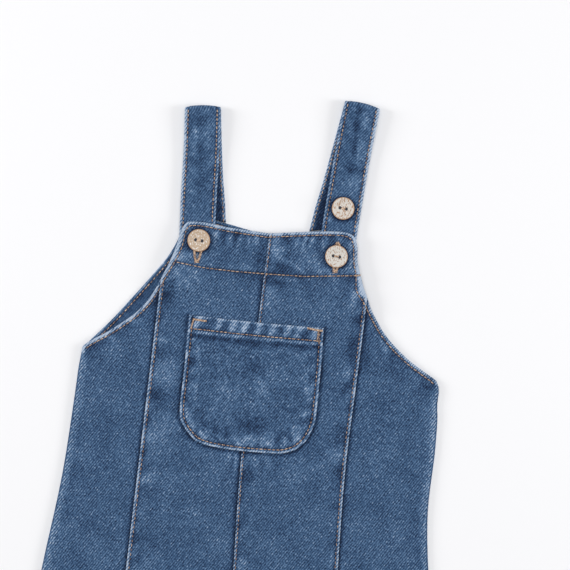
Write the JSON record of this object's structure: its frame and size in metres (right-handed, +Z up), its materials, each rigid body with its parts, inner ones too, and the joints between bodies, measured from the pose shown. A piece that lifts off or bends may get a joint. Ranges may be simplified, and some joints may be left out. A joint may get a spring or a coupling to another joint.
{
  "type": "baby dungarees",
  "caption": "Baby's denim dungarees, a bib-fronted jumpsuit with shoulder straps, laid flat: panels sewn together, a patch pocket and buttons on the straps.",
  "frame": {"origin": "middle of the laid garment, on the surface that it lies on", "axes": "+X to the right as the garment lies front side up, +Y up the garment to the shoulders, +Z up from the surface"},
  "size_m": [0.326, 0.6566, 0.0091],
  "materials": {
    "denim": "mid-blue stone-washed cotton twill with worn edges and tan topstitching",
    "button": "pale speckled coconut shell, satin",
    "thread": "tan spun polyester topstitching thread"
  },
  "bodies": {
    "root": {"back_left": "denim", "back_right": "denim", "strap_left": "denim", "strap_right": "denim", "front_centre_left": "denim", "front_centre_right": "denim", "front_side_left": "denim", "front_side_right": "denim", "pocket": "denim", "button_bib_left": "button", "button_bib_right": "button", "button_strap_right": "button"}
  },
  "joints": []
}
